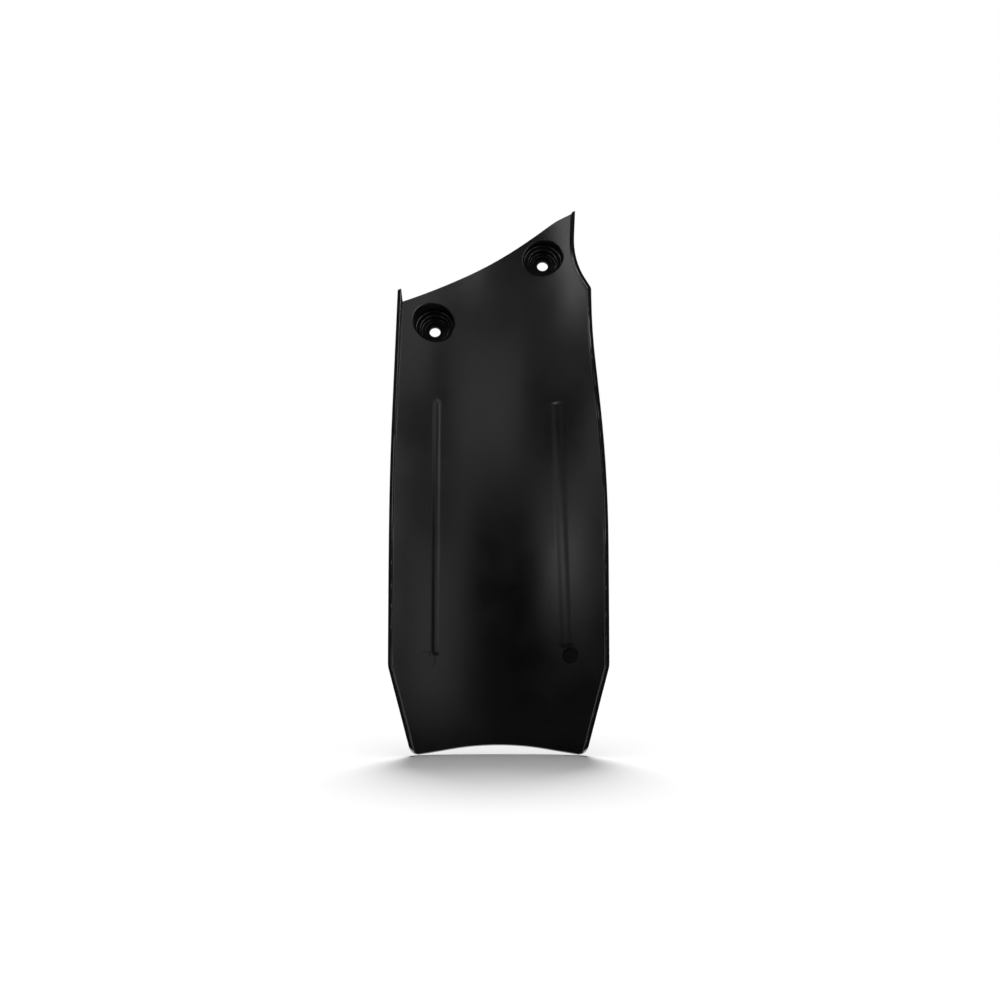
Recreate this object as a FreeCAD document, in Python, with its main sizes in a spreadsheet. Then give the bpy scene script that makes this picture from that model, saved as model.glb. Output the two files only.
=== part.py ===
import FreeCAD, Part
import Sketcher
import math
import os

# Shock mud flap: one plastic moulding, screwed on through two deep cups.
# It is drawn in its moulding axes: X across, Y up the flap, Z out of the face that the screws enter,
# with the origin midway between the two screw seats. The finished flap is then leaned back.

doc = FreeCAD.newDocument("shock_mud_flap")
Vector = FreeCAD.Vector

# Driving dimensions, in millimetres and degrees. "rise" and "drop" are above and below the origin.
dimensions = [
    # whole flap
    ("lean_angle", 20),
    ("centre_offset", 5.6),
    ("face_height", 10),
    ("bow_radius", 800),
    ("trough_radius", 140),
    ("sheet_thickness", 2),
    # sides and lower end
    ("flap_width", 120.6),
    ("shoulder_drop", 219),
    ("shoulder_radius", 12),
    ("bottom_drop", 263.3),
    ("bottom_width", 96),
    ("corner_radius", 5.5),
    ("arch_peak", 10.2),
    ("arch_radius", 130),
    ("left_bend_drop", 115),
    ("left_bend_radius", 2000),
    ("left_inset", 3.5),
    ("neck_low_drop", 115),
    ("neck_low_radius", 900),
    ("neck_high_drop", 30),
    ("neck_high_radius", 400),
    ("neck_inset", 7.5),
    # upper edge, notch and horn
    ("notch_drop", 3.6),
    ("notch_corner_radius", 4),
    ("notch_margin", 17.35),
    ("notch_rise", 17),
    ("notch_radius", 60),
    ("horn_flare", 1.6),
    ("horn_rise", 49.3),
    ("horn_length", 11.2),
    ("horn_bend_rise", 44.8),
    ("horn_bend_radius", 30),
    ("top_bend_across", 5),
    ("top_bend_rise", 20.2),
    ("top_bend_radius", 400),
    ("top_left_drop", 12.4),
    # lips along the sides, and the taller upstand at the upper left
    ("wall_thickness", 2),
    ("lip_height", 4),
    ("upstand_drop", 151),
    ("horn_lip_height", 1.9),
    ("fall_drop", 30),
    ("fall_radius", 150),
    ("root_radius", 0.8),
    ("edge_radius", 1.6),
    ("lip_round", 0.6),
    # screw cups
    ("hole_across", 62.5),
    ("hole_rise", 42.5),
    ("hole_diameter", 6.4),
    ("floor_thickness", 1.8),
    ("pit_diameter", 11),
    ("well_level", 3.1),
    ("well_diameter", 15.4),
    ("shelf_level", 6.6),
    ("shelf_diameter", 21.8),
    ("mouth_level", 14),
    ("mouth_diameter", 23.2),
    ("mouth_round", 0.8),
    ("step_round", 0.5),
    ("cup_wall", 1.7),
    # stiffening beads and ejector-pin marks
    ("bead_width", 3.9),
    ("bead_end_width", 5.8),
    ("left_bead_height", 0.35),
    ("right_bead_height", 0.25),
    ("left_bead_across", -29.2),
    ("left_bead_top_drop", 70),
    ("left_bead_end_drop", 208),
    ("right_bead_top_across", 38.4),
    ("right_bead_end_across", 42.8),
    ("right_bead_top_drop", 70.5),
    ("right_bead_end_drop", 204.6),
    ("pin_diameter", 8.6),
    ("pin_depth", 0.7),
    ("left_pin_across", -33.6),
    ("left_pin_drop", 212.7),
    ("right_pin_across", 45),
    ("right_pin_drop", 210.5),
]

sizes = doc.addObject("Spreadsheet::Sheet", "sizes")
for row, (name, number) in enumerate(dimensions, start=1):
    sizes.set(f"A{row}", name)
    sizes.set(f"B{row}", str(number))
    sizes.setAlias(f"B{row}", name)
doc.recompute()


def size(expression):
    """The number that an expression in the sheet's names comes to."""
    return sizes.evalExpression(expression)


# Lines and levels that several features share, as expressions in the sheet's names.
centre = "sizes.centre_offset"
left = "(sizes.centre_offset - sizes.flap_width / 2)"
right = "(sizes.centre_offset + sizes.flap_width / 2)"
neck = f"({right} - sizes.neck_inset)"
waist = "(sizes.hole_across / 2 + sizes.notch_margin)"
horn_across = f"({waist} + sizes.horn_flare)"
overrun = "(sizes.flap_width / 4)"
rough_top = f"(sizes.horn_rise + {overrun})"
rough_bottom = f"(-sizes.bottom_drop - {overrun})"
side_slope = "((sizes.flap_width - sizes.bottom_width) / 2 / (sizes.bottom_drop - sizes.shoulder_drop))"
horn_slope = "(sizes.horn_flare / (sizes.horn_rise - sizes.notch_rise))"
left_slope = "(sizes.left_inset / (sizes.left_bend_drop - sizes.top_left_drop))"

flat = FreeCAD.Placement()
upright = FreeCAD.Placement(Vector(), FreeCAD.Rotation(Vector(1, 0, 0), 90))


def add(kind, name, **properties):
    thing = doc.addObject(kind, name)
    for key, value in properties.items():
        setattr(thing, key, value)
    return thing


def bind_constraint(sketch, constraint, name, expression):
    index = sketch.addConstraint(constraint)
    sketch.renameConstraint(index, name)
    sketch.setExpression(f"Constraints.{name}", expression)


def outline(name, corners, placement=flat):
    """A closed sketch through corner points (x, y, radius), anticlockwise, each rounded by its radius."""
    sketch = add("Sketcher::SketchObject", name, Placement=placement)
    points = [Vector(size(x), size(y), 0) for x, y, _ in corners]
    radii = [size(radius) if radius else 0 for _, _, radius in corners]
    count = len(corners)
    starts, ends, arcs = [], [], []
    for i, (point, radius) in enumerate(zip(points, radii)):
        back = (points[i - 1] - point).normalize()
        onward = (points[(i + 1) % count] - point).normalize()
        half_angle = back.getAngle(onward) / 2
        reach = radius / math.tan(half_angle)
        ends.append(point + back * reach)
        starts.append(point + onward * reach)
        middle = point + (back + onward).normalize() * (radius / math.sin(half_angle))
        arcs.append((middle, back.cross(onward).z < 0))

    lines = [
        sketch.addGeometry(Part.LineSegment(starts[i], ends[(i + 1) % count]), False)
        for i in range(count)
    ]
    for i, (x, y, radius) in enumerate(corners):
        before, after = lines[i - 1], lines[i]
        if not radius:
            sketch.addConstraint(Sketcher.Constraint("Coincident", before, 2, after, 1))
            corner, at = after, 1
        else:
            middle, turns_left = arcs[i]
            first, last = (ends[i], starts[i]) if turns_left else (starts[i], ends[i])
            circle = Part.Circle(middle, Vector(0, 0, 1), radii[i])
            arc = sketch.addGeometry(
                Part.ArcOfCircle(circle, circle.parameter(first), circle.parameter(last)), False
            )
            arc_in, arc_out = (1, 2) if turns_left else (2, 1)
            sketch.addConstraint(Sketcher.Constraint("Tangent", before, 2, arc, arc_in))
            sketch.addConstraint(Sketcher.Constraint("Tangent", arc, arc_out, after, 1))
            bind_constraint(sketch, Sketcher.Constraint("Radius", arc, radii[i]), f"round_{i}", radius)
            corner, at = sketch.addGeometry(Part.Point(points[i]), True), 1
            sketch.addConstraint(Sketcher.Constraint("PointOnObject", corner, 1, before))
            sketch.addConstraint(Sketcher.Constraint("PointOnObject", corner, 1, after))
        bind_constraint(sketch, Sketcher.Constraint("DistanceX", corner, at, points[i].x), f"across_{i}", x)
        bind_constraint(sketch, Sketcher.Constraint("DistanceY", corner, at, points[i].y), f"up_{i}", y)
    return sketch


def prism(name, profile):
    """A flat profile run along the moulding direction, well past both faces of the sheet."""
    block = add("Part::Extrusion", name, Base=profile, DirMode="Custom", Dir=Vector(0, 0, 1), Solid=True)
    block.setExpression("LengthFwd", "sizes.flap_width / 2")
    block.setExpression("LengthRev", "sizes.flap_width / 2 + sizes.bottom_drop / 4")
    return block


def bowed_bar(name, across, level, radius):
    """A round bar that is bent to the bow of the sheet."""
    sketch = add("Sketcher::SketchObject", f"{name}_section", Placement=upright)
    circle = Part.Circle(Vector(size(across), size(level), 0), Vector(0, 0, 1), size(radius))
    ring = sketch.addGeometry(circle, False)
    bind_constraint(sketch, Sketcher.Constraint("Radius", ring, size(radius)), "radius", radius)
    bind_constraint(sketch, Sketcher.Constraint("DistanceX", ring, 3, size(across)), "across", across)
    bind_constraint(sketch, Sketcher.Constraint("DistanceY", ring, 3, size(level)), "level", level)
    swept = add("Part::Revolution", name, Source=sketch, Axis=Vector(1, 0, 0), Symmetric=True, Solid=True)
    swept.Angle = 60
    swept.setExpression("Base.z", "sizes.face_height - sizes.bow_radius")
    return swept


def tube(name, depth):
    """Everything in front of the surface that lies a given depth behind the sheet's front face."""
    level = "sizes.face_height + sizes.trough_radius"
    return bowed_bar(name, centre, level, f"sizes.trough_radius + {depth}")


def common(name, base, tool):
    return add("Part::Common", name, Base=base, Tool=tool)


def cut(name, base, tool):
    return add("Part::Cut", name, Base=base, Tool=tool)


def fuse(name, *shapes):
    return add("Part::MultiFuse", name, Shapes=list(shapes))


def depth_behind_face(point):
    """How far a point lies behind the sheet's front face, measured square to it."""
    bow_centre = size("sizes.face_height - sizes.bow_radius")
    ring_radius = size("sizes.bow_radius + sizes.trough_radius")
    out = math.hypot(point.y, point.z - bow_centre)
    return math.hypot(point.x - size(centre), out - ring_radius) - size("sizes.trough_radius")


def middle_of(face):
    low_u, high_u, low_v, high_v = face.ParameterRange
    return (low_u + high_u) / 2, (low_v + high_v) / 2


def lies_at(depth):
    return lambda face: abs(depth_behind_face(face.valueAt(*middle_of(face))) - depth) < 0.01


def is_side(face):
    normal = face.normalAt(*middle_of(face))
    from_centre = abs(face.valueAt(*middle_of(face)).x - size(centre))
    return abs(normal.z) < 0.2 and abs(normal.y) < 0.9 and from_centre > size("sizes.bottom_width") / 4


def is_wall_top(face):
    swept = isinstance(face.Surface, (Part.Plane, Part.SurfaceOfExtrusion))
    faces_out = abs(face.normalAt(*middle_of(face)).z) > 0.5
    return swept and faces_out and depth_behind_face(face.valueAt(*middle_of(face))) < 0


def edges_between(shape, first, second):
    """Numbers of the edges where a face of one kind meets a face of the other."""
    neighbours = {}
    for face in shape.Faces:
        for edge in face.Edges:
            neighbours.setdefault(edge.hashCode(), []).append(face)
    found = []
    for number, edge in enumerate(shape.Edges, start=1):
        pair = neighbours[edge.hashCode()]
        if len(pair) == 2 and (first(pair[0]) and second(pair[1]) or first(pair[1]) and second(pair[0])):
            found.append(number)
    return found


def fillet(name, base, first, second, radius):
    doc.recompute()
    found = edges_between(base.Shape, first, second)
    amount = size(radius)
    return add("Part::Fillet", name, Base=base, Edges=[(number, amount, amount) for number in found])


# Rough outline of the sides, run past the flap's upper and lower ends.
rough_low_half = f"(sizes.bottom_width / 2 - {overrun} * {side_slope})"
sides = outline("sides", [
    (f"{centre} - {rough_low_half}", rough_bottom, None),
    (f"{centre} + {rough_low_half}", rough_bottom, None),
    (right, "-sizes.shoulder_drop", "sizes.shoulder_radius"),
    (right, "-sizes.neck_low_drop", "sizes.neck_low_radius"),
    (neck, "-sizes.neck_high_drop", "sizes.neck_high_radius"),
    (neck, "-sizes.notch_drop", "sizes.notch_corner_radius"),
    (waist, "sizes.notch_rise", "sizes.notch_radius"),
    (f"{horn_across} + {horn_slope} * {overrun}", rough_top, None),
    (f"{left} + {left_slope} * ({rough_top} + sizes.left_bend_drop)", rough_top, None),
    (left, "-sizes.left_bend_drop", "sizes.left_bend_radius"),
    (left, "-sizes.shoulder_drop", "sizes.shoulder_radius"),
])
inner_sides = add("Part::Offset2D", "inner_sides", Source=sides, Join="Intersection")
inner_sides.setExpression("Value", "-sizes.wall_thickness")

# Upper and lower ends of the flap. The lower corners run a hair outside the slanted sides.
hair = "sizes.corner_radius / 25"
far_left = f"({left} - {overrun})"
far_right = f"({right} + {overrun})"
slant_top = f"(-sizes.bottom_drop + (({far_right} - {centre}) - sizes.bottom_width / 2) / {side_slope})"
horn_top_slope = "((sizes.horn_rise - sizes.horn_bend_rise) / sizes.horn_length)"
top_left_across = f"({left} + sizes.left_inset)"
top_slope = f"((sizes.top_bend_rise + sizes.top_left_drop) / (sizes.top_bend_across - {top_left_across}))"
ends = outline("ends", [
    (f"{centre} - sizes.bottom_width / 2 - {hair}", "-sizes.bottom_drop", "sizes.corner_radius"),
    (centre, "-sizes.bottom_drop + sizes.arch_peak", "sizes.arch_radius"),
    (f"{centre} + sizes.bottom_width / 2 + {hair}", "-sizes.bottom_drop", "sizes.corner_radius"),
    (f"{far_right} + {hair}", slant_top, None),
    (
        f"{far_right} + {hair}",
        f"sizes.horn_rise + ({far_right} + {hair} - {horn_across}) * {horn_top_slope}",
        None,
    ),
    (f"{horn_across} - sizes.horn_length", "sizes.horn_bend_rise", "sizes.horn_bend_radius"),
    ("sizes.top_bend_across", "sizes.top_bend_rise", "sizes.top_bend_radius"),
    (
        f"{far_left} - {hair}",
        f"-sizes.top_left_drop + ({far_left} - {hair} - {top_left_across}) * {top_slope}",
        None,
    ),
    (f"{far_left} - {hair}", slant_top, None),
])

# Surfaces parallel to the front face, named for what they bound.
back_tube = tube("back_tube", "sizes.sheet_thickness")
core_tube = tube("core_tube", "sizes.sheet_thickness / 2")
face_tube = tube("face_tube", "0")
pin_tube = tube("pin_tube", "sizes.pin_depth")

# Tray: a solid block over the back face, hollowed to the front face inside the walls.
block = common("block", prism("sides_block", sides), back_tube)
inner_block = prism("inner_block", inner_sides)
rounded_block = fillet(
    "rounded_block", block, lies_at(size("sizes.sheet_thickness")), is_side, "sizes.edge_radius"
)
hollow = common("hollow", inner_block, face_tube)
rounded_hollow = fillet("rounded_hollow", hollow, lies_at(0), is_side, "sizes.root_radius")
tray = cut("tray", rounded_block, rounded_hollow)


def face_lift(across):
    """How far the front face stands forward of the trough's lowest line."""
    return f"(sizes.trough_radius - sqrt(sizes.trough_radius ^ 2 - ({across} - {centre}) ^ 2))"


# Wall tops: both run parallel to the face at their lower ends. The left one then runs straight on
# while the sheet bows away from it, and so becomes the upstand. The right one falls along the notch.
bow_level = "(sizes.face_height - sizes.bow_radius)"
edge_lift = face_lift(right)
low_lift = face_lift(f"({centre} + sizes.bottom_width / 2)")
wall_slope = f"(({edge_lift} - {low_lift}) / (sizes.flap_width - sizes.bottom_width) * 2)"
lip_bow = f"(sizes.bow_radius + {edge_lift} + sizes.lip_height)"
space_low = f"({rough_bottom} - {overrun})"
space_high = f"({rough_top} + {overrun})"
ceiling = "(2 * sizes.flap_width)"


def on_lip(drop):
    """Level of the lip's top edge at a drop below the origin."""
    return f"({bow_level} + sqrt({lip_bow} ^ 2 - ({drop}) ^ 2))"


def lip_grade(drop):
    """Slope of the lip's top edge at a drop below the origin."""
    return f"(({drop}) / sqrt({lip_bow} ^ 2 - ({drop}) ^ 2))"


def on_tangent(drop, height):
    """Level, at a height, of the line that leaves the lip's top edge at a drop."""
    return f"({on_lip(drop)} + {lip_grade(drop)} * ({height} + {drop}))"


def over_wall(name, side, leave_drop, onward):
    """The space over one wall: side view with the lip's arc, then its tangent, then onward corners."""
    low_drop = f"(0 - {rough_bottom})"
    arc_gap = f"({on_lip(leave_drop)} - {lip_grade(leave_drop)} * (0 - {leave_drop}))"
    low_gap = f"({on_lip(low_drop)} - {lip_grade(low_drop)} * (0 - {low_drop}))"
    meet = f"(({low_gap} - {arc_gap}) / ({lip_grade(leave_drop)} - {lip_grade(low_drop)}))"
    edge = far_left if side < 0 else far_right
    side_on = FreeCAD.Rotation(Vector(0, 1, 0), Vector(0, 0, 1), Vector(1, 0, 0))
    profile = outline(f"{name}_profile", [
        (space_low, on_tangent(low_drop, space_low), None),
        (meet, on_tangent(leave_drop, meet), lip_bow),
        *onward,
        (space_high, ceiling, None),
        (space_low, ceiling, None),
    ], FreeCAD.Placement(Vector(), side_on))
    profile.setExpression("Placement.Base.x", edge)
    profile.setExpression("Placement.Base.z", f"{overrun} * {wall_slope}")
    inward = Vector(-side, 0, -size(wall_slope))
    space = add("Part::Extrusion", f"{name}_space", Base=profile, DirMode="Custom", Dir=inward, Solid=True)
    space.setExpression("LengthFwd", f"({overrun} + sizes.flap_width / 2) * sqrt(1 + {wall_slope} ^ 2)")
    return cut(name, space, inner_block)


upstand_run = [(space_high, on_tangent("sizes.upstand_drop", space_high), None)]
over_left = over_wall("over_left", -1, "sizes.upstand_drop", upstand_run)

horn_offset = f"({horn_across} - {centre})"
horn_face = f"({bow_level} + sqrt((sizes.bow_radius + {face_lift(horn_across)}) ^ 2 - sizes.horn_rise ^ 2))"
horn_wall = f"({horn_face} + sizes.horn_lip_height + {wall_slope} * (sizes.flap_width / 2 - {horn_offset}))"
fall_start = "(sizes.fall_radius / 10 - sizes.fall_drop)"
fall_level = on_tangent("sizes.fall_drop", fall_start)
fall_grade = f"(({horn_wall} - {fall_level}) / (sizes.horn_rise - {fall_start}))"
notch_run = [
    (fall_start, fall_level, "sizes.fall_radius"),
    (space_high, f"{horn_wall} + {fall_grade} * ({space_high} - sizes.horn_rise)", None),
]
over_right = over_wall("over_right", 1, "sizes.fall_drop", notch_run)

low_right = cut("low_right", tray, over_right)
walled = cut("walled", low_right, over_left)
smooth_lips = fillet("smooth_lips", walled, is_wall_top, is_side, "sizes.lip_round")
trimmed = common("trimmed", smooth_lips, prism("ends_block", ends))


def bead(name, height, top_across, top_drop, end_across, end_drop):
    """A low rounded rib: the crest of a round bar that is sunk along the front face."""
    bar_radius = f"(sizes.bead_width ^ 2 / 8 / {height} + {height} / 2)"
    bar_ring = f"(sizes.trough_radius + {bar_radius} - {height})"
    half = "sizes.bead_end_width / 2"
    end_round = f"{half} - {hair}"
    stadium = outline(f"{name}_outline", [
        (f"{end_across} - {half}", f"-{end_drop}", end_round),
        (f"{end_across} + {half}", f"-{end_drop}", end_round),
        (f"{top_across} + {half}", f"-{top_drop}", end_round),
        (f"{top_across} - {half}", f"-{top_drop}", end_round),
    ])
    across = f"(({top_across} + {end_across}) / 2)"
    tilt = f"(({across} - {centre}) / sizes.trough_radius)"
    bar = bowed_bar(
        f"{name}_bar",
        f"{centre} + {bar_ring} * {tilt}",
        f"sizes.face_height + sizes.trough_radius - {bar_ring} * sqrt(1 - {tilt} ^ 2)",
        bar_radius,
    )
    length = size(f"{end_drop} - {top_drop}")
    lean = math.degrees(math.atan(size(f"{end_across} - {top_across}") / length))
    pitch = math.degrees(math.atan(size(f"{face_lift(end_across)} - {face_lift(top_across)}") / length))
    turn = FreeCAD.Rotation(Vector(0, 0, 1), lean) * FreeCAD.Rotation(Vector(1, 0, 0), -pitch)
    drop = f"(({top_drop} + {end_drop}) / 2)"
    level = f"({bow_level} + sqrt((sizes.bow_radius + {face_lift(across)}) ^ 2 - {drop} ^ 2))"
    pivot = Vector(size(across), -size(drop), size(level))
    bar.Placement = FreeCAD.Placement(Vector(), turn, pivot)
    length_of_bar = common(f"{name}_length", bar, prism(f"{name}_block", stadium))
    return common(name, length_of_bar, core_tube)


left_bead = bead(
    "left_bead", "sizes.left_bead_height",
    "sizes.left_bead_across", "sizes.left_bead_top_drop",
    "sizes.left_bead_across", "sizes.left_bead_end_drop",
)
right_bead = bead(
    "right_bead", "sizes.right_bead_height",
    "sizes.right_bead_top_across", "sizes.right_bead_top_drop",
    "sizes.right_bead_end_across", "sizes.right_bead_end_drop",
)


def turned(name, corners, side):
    """A profile turned about one screw hole's axis; side is -1 on the left and 1 on the right."""
    profile = outline(f"{name}_profile", corners, upright)
    solid = add("Part::Revolution", name, Source=profile, Axis=Vector(0, 0, 1), Solid=True)
    solid.setExpression("Placement.Base.x", f"{side} * sizes.hole_across / 2")
    solid.setExpression("Placement.Base.y", f"{side} * sizes.hole_rise / 2")
    return solid


cup_top = "(sizes.mouth_level + sizes.mouth_diameter)"
draft = (
    "((sizes.mouth_diameter - sizes.shelf_diameter) / 2 / (sizes.mouth_level - sizes.shelf_level))"
)
well_foot = "(sizes.well_diameter / 2)"
well_head = f"({well_foot} + {draft} * (sizes.shelf_level - sizes.well_level))"
shelf = "(sizes.shelf_diameter / 2)"
seat_edge = f"({well_foot} + sizes.cup_wall)"
collar_edge = f"({shelf} + sizes.cup_wall)"
collar_level = "(sizes.shelf_level - sizes.floor_thickness)"


def cup_boss(name, side):
    """The stepped outside of a screw cup, from its seat up into the sheet."""
    return turned(name, [
        ("0", "0", None),
        (seat_edge, "0", "sizes.step_round"),
        (f"{seat_edge} + {draft} * {collar_level}", collar_level, None),
        (collar_edge, collar_level, "sizes.step_round"),
        (f"{collar_edge} + {draft} * ({cup_top} - {collar_level})", cup_top, None),
        ("0", cup_top, None),
    ], side)


def cup_inside(name, side):
    """The stepped inside of a screw cup: mouth, shelf, well, pit and through hole."""
    hole = "(sizes.hole_diameter / 2)"
    pit = "(sizes.pit_diameter / 2)"
    return turned(name, [
        ("0", "-sizes.floor_thickness", None),
        (hole, "-sizes.floor_thickness", None),
        (hole, "sizes.floor_thickness", None),
        (pit, "sizes.floor_thickness", None),
        (pit, "sizes.well_level", "sizes.step_round / 2"),
        (well_foot, "sizes.well_level", "sizes.step_round"),
        (well_head, "sizes.shelf_level", "sizes.step_round"),
        (shelf, "sizes.shelf_level", "sizes.step_round"),
        (f"{shelf} + {draft} * ({cup_top} - sizes.shelf_level)", cup_top, None),
        ("0", cup_top, None),
    ], side)


def pin_mark(name, across, drop):
    """A shallow round mark, sunk square into the front face."""
    pin = add("Part::Cylinder", f"{name}_pin")
    pin.setExpression("Radius", "sizes.pin_diameter / 2")
    pin.setExpression("Height", "2 * sizes.flap_width")
    pin.setExpression("Placement.Base.x", across)
    pin.setExpression("Placement.Base.y", f"-{drop}")
    pin.setExpression("Placement.Base.z", "-sizes.flap_width")
    return common(name, pin, pin_tube)


raised = fuse(
    "raised",
    trimmed,
    left_bead,
    right_bead,
    cut("left_boss", cup_boss("left_boss_blank", -1), core_tube),
    cut("right_boss", cup_boss("right_boss_blank", 1), core_tube),
)
sunk = fuse(
    "sunk",
    cup_inside("left_cup", -1),
    cup_inside("right_cup", 1),
    pin_mark("left_mark", "sizes.left_pin_across", "sizes.left_pin_drop"),
    pin_mark("right_mark", "sizes.right_pin_across", "sizes.right_pin_drop"),
)
bored = cut("bored", raised, sunk)


def is_cup_wall(face):
    """True of the conical wall below each cup's mouth."""
    point = face.valueAt(*middle_of(face))
    for side in (-1, 1):
        from_axis = math.hypot(
            point.x - side * size("sizes.hole_across") / 2, point.y - side * size("sizes.hole_rise") / 2
        )
        if from_axis > size(shelf) - 0.01 and from_axis < size(collar_edge):
            return isinstance(face.Surface, Part.Cone) and face.Orientation == "Reversed"
    return False


flap = fillet("mud_flap", bored, lies_at(0), is_cup_wall, "sizes.mouth_round")
flap.Label = "mud_flap"
doc.recompute()
flap.Placement = FreeCAD.Placement(
    Vector(), FreeCAD.Rotation(Vector(1, 0, 0), 90 - size("sizes.lean_angle"))
)

# The document is sound before anything is written.
doc.recompute()
for thing in doc.Objects:
    if "Invalid" in thing.State or "Error" in thing.State:
        raise RuntimeError(f"{thing.Label} failed: {thing.State}")
solid = flap.Shape
if solid.isNull() or not solid.isValid() or len(solid.Solids) != 1:
    raise RuntimeError("mud_flap is not one valid solid")

os.makedirs("parts", exist_ok=True)
solid.exportStep("parts/mud_flap.step")
box = solid.optimalBoundingBox()
extent = f"{box.XLength:.1f} x {box.YLength:.1f} x {box.ZLength:.1f} mm"
print(f"mud_flap: {extent}, {solid.Volume / 1000:.2f} cm3")
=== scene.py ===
import bpy
import math
from mathutils import Matrix, Vector


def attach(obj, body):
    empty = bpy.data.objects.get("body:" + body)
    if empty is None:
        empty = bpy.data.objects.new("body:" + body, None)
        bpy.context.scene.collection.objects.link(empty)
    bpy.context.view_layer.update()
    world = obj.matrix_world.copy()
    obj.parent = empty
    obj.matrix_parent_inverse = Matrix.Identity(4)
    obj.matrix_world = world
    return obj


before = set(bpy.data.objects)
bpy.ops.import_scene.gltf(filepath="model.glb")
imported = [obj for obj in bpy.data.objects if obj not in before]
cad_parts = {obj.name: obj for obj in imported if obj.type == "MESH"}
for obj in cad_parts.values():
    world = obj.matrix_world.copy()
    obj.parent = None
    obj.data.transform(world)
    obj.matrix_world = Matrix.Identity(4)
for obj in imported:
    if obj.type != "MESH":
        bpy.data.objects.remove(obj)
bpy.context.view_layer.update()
scene = bpy.context.scene
scene.view_settings.view_transform = "Standard"


def linearColour(hexText):
    # sRGB hex to the linear values that the shaders work in
    channels = [int(hexText[i:i + 2], 16) / 255 for i in (1, 3, 5)]
    return [c / 12.92 if c <= 0.04045 else ((c + 0.055) / 1.055) ** 2.4 for c in channels] + [1]


def addNode(tree, kind, settings=None, inputs=None, links=None):
    # one node with its settings, its fixed input values, and links into its inputs
    node = tree.nodes.new(kind)
    for name, value in (settings or {}).items():
        setattr(node, name, value)
    for name, value in (inputs or {}).items():
        node.inputs[name].default_value = value
    for name, source in (links or {}).items():
        tree.links.new(source, node.inputs[name])
    return node


def newMaterial(name):
    material = bpy.data.materials.new(name)
    material.use_nodes = True
    material.node_tree.nodes.clear()
    return material, material.node_tree


# camera: level, square on to the flap's width
view = {"place": (0.00633, -1.058, -0.1166), "lens": 65.27, "sensor": 36, "clipStart": 0.01}
camera = bpy.data.objects.new("camera", bpy.data.cameras.new("camera"))
camera.data.lens = view["lens"]
camera.data.sensor_width = view["sensor"]
camera.data.clip_start = view["clipStart"]
camera.location = view["place"]
camera.rotation_euler = (math.radians(90), 0, 0)
scene.collection.objects.link(camera)
scene.camera = camera
print("camera set")

# black polypropylene, injection moulded: a satin skin that throws soft grey patches of light,
# broken up by slow swells of the sheet, a fine mould grain and a few specks of dust
skin = {
    "deep": "#040405", "worn": "#080809", "dust": "#4a4a4b", "ior": 1.49,
    "cloudSize": 0.022, "cloudDetail": 4, "wearSpan": (0.35, 0.65), "glossSpan": (0.3, 0.7),
    "swellSize": 0.045, "swellDetail": 1, "swellHeight": 0.0002,
    # the true grain is near 0.1 mm, too fine to show, so it is drawn coarser
    "grainSize": 0.0012, "grainDetail": 2, "grainHeight": 0.000016,
    "noiseRoughness": 0.55,
    "speckSpacing": 0.013, "speckSize": 0.04, "bareCells": 0.72,  # share of cells with no speck
}


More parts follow.
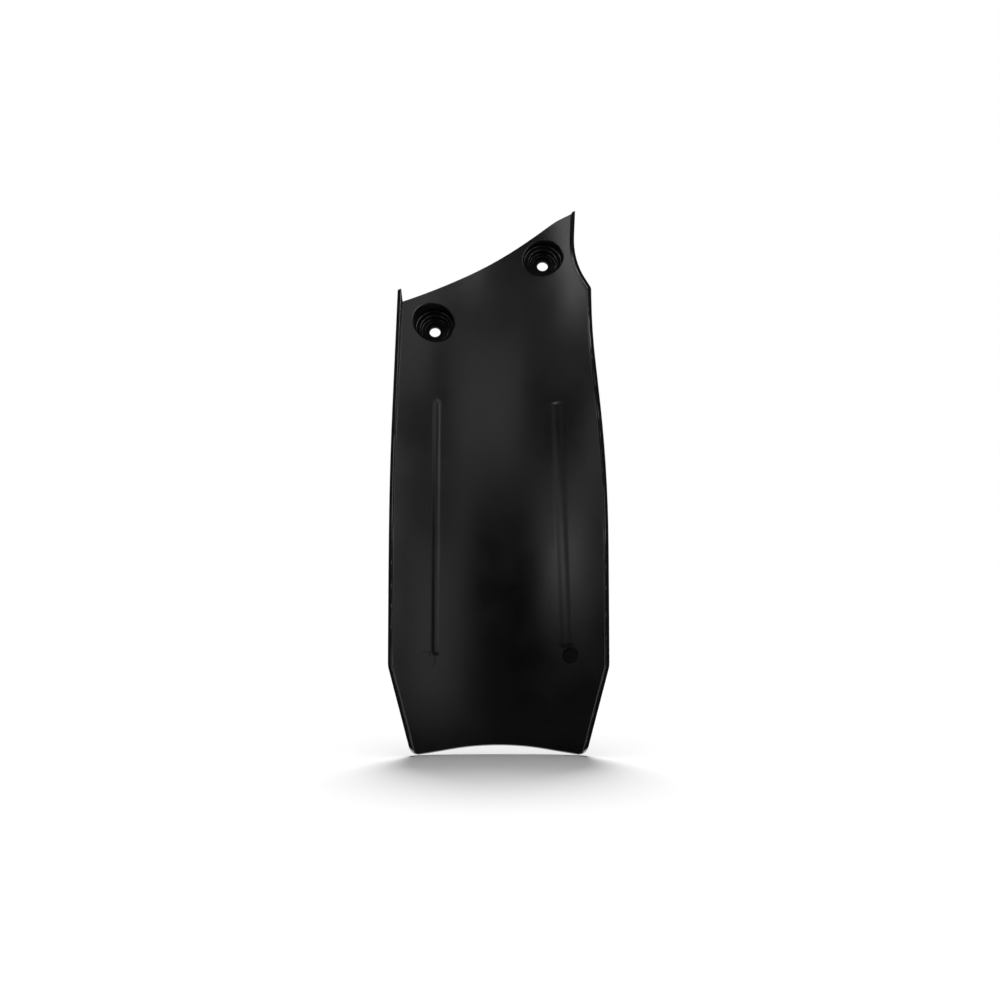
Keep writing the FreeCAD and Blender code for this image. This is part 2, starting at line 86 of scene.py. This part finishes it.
def polypropylene(name, mirrorShare, roughness):
    material, tree = newMaterial(name)
    spot = addNode(tree, "ShaderNodeTexCoord").outputs["Object"]
    fields = {}
    for field in ("cloud", "swell", "grain"):
        noise = addNode(
            tree, "ShaderNodeTexNoise",
            inputs={
                "Scale": 1 / skin[field + "Size"], "Detail": skin[field + "Detail"],
                "Roughness": skin["noiseRoughness"],
            },
            links={"Vector": spot},
        )
        fields[field] = noise.outputs["Fac"]

    # dust: a dot in some of the cells
    cells = addNode(
        tree, "ShaderNodeTexVoronoi",
        inputs={"Scale": 1 / skin["speckSpacing"]}, links={"Vector": spot},
    )
    chance = addNode(tree, "ShaderNodeSeparateColor", links={"Color": cells.outputs["Color"]})
    kept = addNode(
        tree, "ShaderNodeMath", {"operation": "GREATER_THAN"},
        {1: skin["bareCells"]}, {0: chance.outputs["Red"]},
    )
    dot = addNode(
        tree, "ShaderNodeMapRange",
        inputs={
            "From Min": skin["speckSize"] / 2, "From Max": skin["speckSize"],
            "To Min": 1, "To Max": 0,
        },
        links={"Value": cells.outputs["Distance"]},
    )
    dust = addNode(
        tree, "ShaderNodeMath", {"operation": "MULTIPLY"},
        links={0: kept.outputs[0], 1: dot.outputs["Result"]},
    )

    # colour and gloss drift with the same slow clouds
    wear = addNode(
        tree, "ShaderNodeMapRange",
        inputs={"From Min": skin["wearSpan"][0], "From Max": skin["wearSpan"][1]},
        links={"Value": fields["cloud"]},
    )
    tone = addNode(
        tree, "ShaderNodeMix", {"data_type": "RGBA"},
        {6: linearColour(skin["deep"]), 7: linearColour(skin["worn"])}, {0: wear.outputs["Result"]},
    )
    dusty = addNode(
        tree, "ShaderNodeMix", {"data_type": "RGBA"},
        {7: linearColour(skin["dust"])}, {0: dust.outputs[0], 6: tone.outputs[2]},
    )
    satin = addNode(
        tree, "ShaderNodeMapRange",
        inputs={
            "From Min": skin["glossSpan"][0], "From Max": skin["glossSpan"][1],
            "To Min": roughness[0], "To Max": roughness[1],
        },
        links={"Value": fields["cloud"]},
    )
    waves = addNode(
        tree, "ShaderNodeBump",
        inputs={"Distance": skin["swellHeight"]}, links={"Height": fields["swell"]},
    )
    relief = addNode(
        tree, "ShaderNodeBump", inputs={"Distance": skin["grainHeight"]},
        links={"Height": fields["grain"], "Normal": waves.outputs["Normal"]},
    )
    surface = addNode(
        tree, "ShaderNodeBsdfPrincipled",
        inputs={"IOR": skin["ior"], "Specular IOR Level": mirrorShare},
        links={
            "Base Color": dusty.outputs[2], "Roughness": satin.outputs["Result"],
            "Normal": relief.outputs["Normal"],
        },
    )
    addNode(tree, "ShaderNodeOutputMaterial", links={"Surface": surface.outputs["BSDF"]})
    return material


# the satin skin and two copies of it, one mirroring less for painted shade and one mirroring more
# for painted highlights: how strongly each mirrors, and its least and greatest roughness
skinsAndPaintedLight = {
    "blackPolypropylene": (0.3, (0.20, 0.26)),
    # a copy that mirrors less: painted shade in the cups, on the lip tops and on the right pin
    # mark's floor
    "paintedShadePolypropylene": (0.06, (0.42, 0.5)),
    # a copy that mirrors more: painted highlights, the bright lines along the lips' inner edges and
    # the cups' step edges
    "paintedHighlightPolypropylene": (0.6, (0.10, 0.14)),
}
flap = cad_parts["mud_flap"]
flap.data.materials.clear()
for name, (mirrorShare, roughness) in skinsAndPaintedLight.items():
    flap.data.materials.append(polypropylene(name, mirrorShare, roughness))
satinSlot, paintedShadeSlot, paintedHighlightSlot = range(len(skinsAndPaintedLight))

# the flap's own axes, as it was moulded: across, up, and out of the face that the screws enter
mould = {
    "lean": 20, "middle": 0.0056, "faceLevel": 0.010, "bowRadius": 0.8, "troughRadius": 0.14,
}
toWorld = Matrix.Rotation(math.radians(90 - mould["lean"]), 3, "X")
toMould = toWorld.transposed()

# where the painted shade and painted highlights lie: places and depths behind the face, and how far
# a face turns to the front, from 0 for edge on to 1 for square on
zones = {
    "lipDepth": -0.0009, "lipTopTurn": 0.2, "lipEdgeTurn": 0.62,  # painted shade on the tops, painted highlight lines on the inner edges
    "pin": (0.045, -0.2105), "pinReach": 0.0043, "pinDepth": 0.0003,  # the right pin mark
    "pinFloorTurn": 0.5,  # painted shade on its floor
    "cup": (0.03125, 0.02125), "cupReach": 0.0117, "cupDepth": 0.0007,  # painted shade inside
    "stepEdgeTurn": (0.3, 0.97),  # painted highlights on the edges of the cups' steps
}


def behindFace(point):
    # depth of a point behind the sheet's front face, square to it
    fromBow = math.hypot(point.y, point.z - mould["faceLevel"] + mould["bowRadius"])
    out = fromBow - mould["bowRadius"] - mould["troughRadius"]
    return math.hypot(point.x - mould["middle"], out) - mould["troughRadius"]


def slotAt(point, normal):
    # the slot that a face has: the satin skin, the painted shade copy or the painted highlight copy
    depth = behindFace(point)
    # lip tops get painted shade, and their inner edges a painted highlight line
    if depth < zones["lipDepth"] and normal.z > zones["lipTopTurn"]:
        inward = normal.x if point.x < mould["middle"] else -normal.x
        return paintedHighlightSlot if inward > zones["lipEdgeTurn"] else paintedShadeSlot
    # the right pin mark's floor gets painted shade
    fromPin = math.hypot(point.x - zones["pin"][0], point.y - zones["pin"][1])
    if fromPin < zones["pinReach"] and depth > zones["pinDepth"]:
        return paintedShadeSlot if normal.z > zones["pinFloorTurn"] else satinSlot
    # inside the cups painted shade, and a painted highlight on the steps' edges
    least, greatest = zones["stepEdgeTurn"]
    for side in (-1, 1):
        across, up = (side * c for c in zones["cup"])
        fromCup = math.hypot(point.x - across, point.y - up)
        if fromCup < zones["cupReach"] and depth > zones["cupDepth"]:
            return paintedHighlightSlot if least < normal.z < greatest else paintedShadeSlot
    return satinSlot


for face in flap.data.polygons:
    face.material_index = slotAt(toMould @ face.center, toMould @ face.normal)
print("flap dressed,", len(flap.data.polygons), "faces")

# the beads' crests: smooth ridges a hair above the solid, that run out softly into the face
bead = {
    "proud": 0.0001, "border": 0.00006, "step": 0.0004, "thickness": 0.0004, "sharpAngle": 35,
    "left": {
        "height": 0.00035, "reach": 0.0029, "endReach": 0.0034,
        "top": (-0.0292, -0.0703), "end": (-0.0292, -0.2077),
    },
    "right": {
        "height": 0.00025, "reach": 0.0045, "endReach": 0.0022,
        "top": (0.0384, -0.0708), "end": (0.0428, -0.2043),
    },
}

# the tree lifts a strip of the face into a ridge, highest along its middle line
ridge = bpy.data.node_groups.new("beadRidge", "GeometryNodeTree")
for name, way, kind in (
    ("Geometry", "INPUT", "Geometry"), ("Height", "INPUT", "Float"), ("Border", "INPUT", "Float"),
    ("Plastic", "INPUT", "Material"), ("Geometry", "OUTPUT", "Geometry"),
):
    ridge.interface.new_socket(name, in_out=way, socket_type="NodeSocket" + kind)
given = addNode(ridge, "NodeGroupInput")
# 0 on the middle line, 1 at the strip's border
away = addNode(ridge, "GeometryNodeInputNamedAttribute", {"data_type": "FLOAT"}, {"Name": "away"})
turn = addNode(
    ridge, "ShaderNodeMath", {"operation": "MULTIPLY"},
    {1: math.pi}, {0: away.outputs["Attribute"]},
)
wave = addNode(ridge, "ShaderNodeMath", {"operation": "COSINE"}, links={0: turn.outputs[0]})
rise = addNode(ridge, "ShaderNodeMapRange", inputs={"From Min": -1, "From Max": 1}, links={
    "Value": wave.outputs[0], "To Min": given.outputs["Border"], "To Max": given.outputs["Height"],
})
outward = addNode(ridge, "GeometryNodeInputNormal")
lift = addNode(ridge, "ShaderNodeVectorMath", {"operation": "SCALE"}, links={
    "Vector": outward.outputs["Normal"], "Scale": rise.outputs["Result"],
})
raised = addNode(ridge, "GeometryNodeSetPosition", links={
    "Geometry": given.outputs["Geometry"], "Offset": lift.outputs["Vector"],
})
whole = addNode(ridge, "GeometryNodeRealizeInstances", links={
    "Geometry": raised.outputs["Geometry"],
})
dressed = addNode(ridge, "GeometryNodeSetMaterial", links={
    "Geometry": whole.outputs["Geometry"], "Material": given.outputs["Plastic"],
})
addNode(ridge, "NodeGroupOutput", links={"Geometry": dressed.outputs["Geometry"]})


def onFace(across, up):
    # the point of the sheet's face at a place across and up the flap
    slope = math.asin((across - mould["middle"]) / mould["troughRadius"])
    ring = mould["bowRadius"] + mould["troughRadius"] * (1 - math.cos(slope))
    level = mould["faceLevel"] - mould["bowRadius"] + math.sqrt(ring ** 2 - up ** 2)
    return toWorld @ Vector((across, up, level))


def beadCrest(name, height, reach, endReach, top, end):
    top, end = Vector(top), Vector(end)
    length, along = (end - top).length, (end - top).normalized()
    aside = Vector((-along.y, along.x))
    columns = round(2 * reach / bead["step"])
    rows = round((length + 2 * endReach) / bead["step"])
    points, distances = [], []
    for row in range(rows + 1):
        run = (length + 2 * endReach) * row / rows - endReach
        past = max(0, -run, run - length) / endReach
        for column in range(columns + 1):
            offset = 2 * column / columns - 1
            points.append(onFace(*(top + along * run + aside * offset * reach)))
            distances.append(min(math.hypot(past, offset), 1))
    wide = columns + 1
    faces = [
        (first, first + wide, first + wide + 1, first + 1)
        for row in range(rows)
        for first in range(row * wide, row * wide + columns)
    ]
    mesh = bpy.data.meshes.new(name)
    mesh.from_pydata(points, [], faces)
    mesh.attributes.new("away", "FLOAT", "POINT").data.foreach_set("value", distances)
    mesh.shade_smooth()
    crest = bpy.data.objects.new(name, mesh)
    scene.collection.objects.link(crest)
    nodes = crest.modifiers.new("ridge", "NODES")
    nodes.node_group = ridge
    settings = {
        "Height": height + bead["proud"], "Border": bead["border"],
        "Plastic": flap.data.materials[satinSlot],
    }
    for socket, value in settings.items():
        nodes[ridge.interface.items_tree[socket].identifier] = value
    shell = crest.modifiers.new("shell", "SOLIDIFY")
    shell.thickness = bead["thickness"]
    shell.offset = -1
    shaped = crest.evaluated_get(bpy.context.evaluated_depsgraph_get())
    crest.data = bpy.data.meshes.new_from_object(shaped)
    crest.data.set_sharp_from_angle(angle=math.radians(bead["sharpAngle"]))
    crest.modifiers.clear()
    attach(crest, "root")
    return crest


crests = [beadCrest(side + "BeadCrest", **bead[side]) for side in ("left", "right")]
print("beads smoothed", [len(crest.data.polygons) for crest in crests])

# white paper under the flap; the front sheet is grey to glossy rays, a painted dim reflection, so
# the plastic mirrors the paper in front of it dimly, as in a dark room
studio = {
    "floor": -0.2567, "front": -0.6, "foot": -0.07, "back": 1.6, "halfWidth": 1.0,
    "paper": "#fafafa", "paperInPlastic": "#6a6a6a", "roomInPlastic": 0.04,
}
whitePaper, tree = newMaterial("whitePaper")
matt = addNode(tree, "ShaderNodeBsdfDiffuse", inputs={"Color": linearColour(studio["paper"])})
addNode(tree, "ShaderNodeOutputMaterial", links={"Surface": matt.outputs["BSDF"]})

frontPaper, tree = newMaterial("frontPaper")
path = addNode(tree, "ShaderNodeLightPath")
# to glossy rays the front paper is grey: a painted dim reflection of the paper in the plastic
colour = addNode(
    tree, "ShaderNodeMix", {"data_type": "RGBA"},
    {6: linearColour(studio["paper"]), 7: linearColour(studio["paperInPlastic"])},
    {0: path.outputs["Is Glossy Ray"]},
)
matt = addNode(tree, "ShaderNodeBsdfDiffuse", links={"Color": colour.outputs[2]})
addNode(tree, "ShaderNodeOutputMaterial", links={"Surface": matt.outputs["BSDF"]})

# two faces that meet under the flap's foot, the rear one first
mesh = bpy.data.meshes.new("floor")
mesh.from_pydata(
    [(side * studio["halfWidth"], studio[edge], studio["floor"])
     for edge in ("back", "foot", "front") for side in (-1, 1)],
    [], [(2, 3, 1, 0), (4, 5, 3, 2)],
)
for paper in (whitePaper, frontPaper):
    mesh.materials.append(paper)
mesh.polygons[1].material_index = 1
floor = bpy.data.objects.new("floor", mesh)
scene.collection.objects.link(floor)

# white all round to the eye, and a dim room to the plastic
world = bpy.data.worlds.new("whiteStudio")
world.use_nodes = True
tree = world.node_tree
path = addNode(tree, "ShaderNodeLightPath")
mirrored = addNode(
    tree, "ShaderNodeMath", {"operation": "MAXIMUM"},
    links={0: path.outputs["Is Glossy Ray"], 1: path.outputs["Is Transmission Ray"]},
)
level = addNode(
    tree, "ShaderNodeMath", {"operation": "MULTIPLY_ADD"}, {1: studio["roomInPlastic"]},
    {0: mirrored.outputs[0], 2: path.outputs["Is Camera Ray"]},
)
tree.nodes["Background"].inputs["Color"].default_value = (1, 1, 1, 1)
tree.links.new(level.outputs[0], tree.nodes["Background"].inputs["Strength"])
scene.world = world

# light: two broad lamps for the paper, and softboxes that lie as soft patches on the plastic
# each broad lamp: degrees that it comes from behind, degrees across, watts per square metre
broadLamps = {"overhead": (0, 50, 1.25), "fromBehind": (32, 27, 2.6)}
paperOnly = bpy.data.collections.new("paperOnly")
paperOnly.objects.link(floor)
for name, (behind, across, strength) in broadLamps.items():
    lamp = bpy.data.lights.new(name, "SUN")
    lamp.energy = strength
    lamp.angle = math.radians(across)
    broadLamp = bpy.data.objects.new(name, lamp)
    broadLamp.rotation_euler = (math.radians(-behind), 0, 0)
    broadLamp.light_linking.receiver_collection = paperOnly
    scene.collection.objects.link(broadLamp)

# each softbox: degrees to the right and up from the flap's middle, degrees wide and tall, watts
lamps = {"aim": (0.006, -0.03, -0.115), "distance": 1.25}
softboxes = {
    "leftKey": (-29, 15, 24, 20, 0.66),
    "leftCore": (-27, 13, 13, 10, 0.27),
    "leftFoot": (-36, -12, 12, 8, 0.08),
    "leftMid": (-46, 27, 14, 12, 0.26),
    "leftHigh": (-22, 44, 20, 16, 0.2),
    "upperFront": (6, 37, 26, 16, 0.75),
    "upperFrontHigh": (8, 53, 26, 12, 0.17),
    "upperLeft": (-40, 40, 14, 12, 0.06),
    "upperLeftMid": (-46, 50, 14, 8, 0.9),
    "upperLeftHigh": (-52, 60, 18, 10, 1.2),
    "frontMid": (0, 26, 30, 10, 0.25),
    "rightInner": (14, 7, 8, 30, 0.2),
    "rightLow": (27, 4, 18, 20, 0.6),
    "rightFoot": (30, -12, 22, 10, 0.35),
    "rightMid": (27, 22, 24, 16, 0.25),
    "rightHigh": (43, 43, 18, 18, 0.67),
    "rightTop": (30, 58, 24, 10, 1.05),
    "rightFar": (48, 10, 16, 34, 0.6),
    "rightFarLow": (55, 0, 12, 18, 0.4),
    "rightSide": (70, 12, 36, 44, 9.0),
    "leftSide": (-72, 10, 30, 40, 6.0),
    "rightStrip": (100, 8, 12, 40, 8.0),
    "leftStrip": (-100, 8, 12, 40, 8.0),
    "backRight": (150, 25, 40, 40, 1.6),
    "backLeft": (-150, 25, 40, 40, 1.6),
}
# they light the plastic alone, so the paper stays even
plasticOnly = bpy.data.collections.new("plasticOnly")
for piece in (flap, *crests):
    plasticOnly.objects.link(piece)
for name, (right, up, across, tall, watts) in softboxes.items():
    swing, climb = math.radians(right), math.radians(up)
    toward = Vector((
        math.sin(swing) * math.cos(climb), -math.cos(swing) * math.cos(climb), math.sin(climb),
    ))
    lamp = bpy.data.lights.new(name, "AREA")
    lamp.shape = "RECTANGLE"
    lamp.size = 2 * lamps["distance"] * math.tan(math.radians(across / 2))
    lamp.size_y = 2 * lamps["distance"] * math.tan(math.radians(tall / 2))
    lamp.energy = watts
    softbox = bpy.data.objects.new(name, lamp)
    softbox.location = Vector(lamps["aim"]) + toward * lamps["distance"]
    softbox.rotation_euler = toward.to_track_quat("Z", "Y").to_euler()
    softbox.light_linking.receiver_collection = plasticOnly
    scene.collection.objects.link(softbox)
print("studio lit")
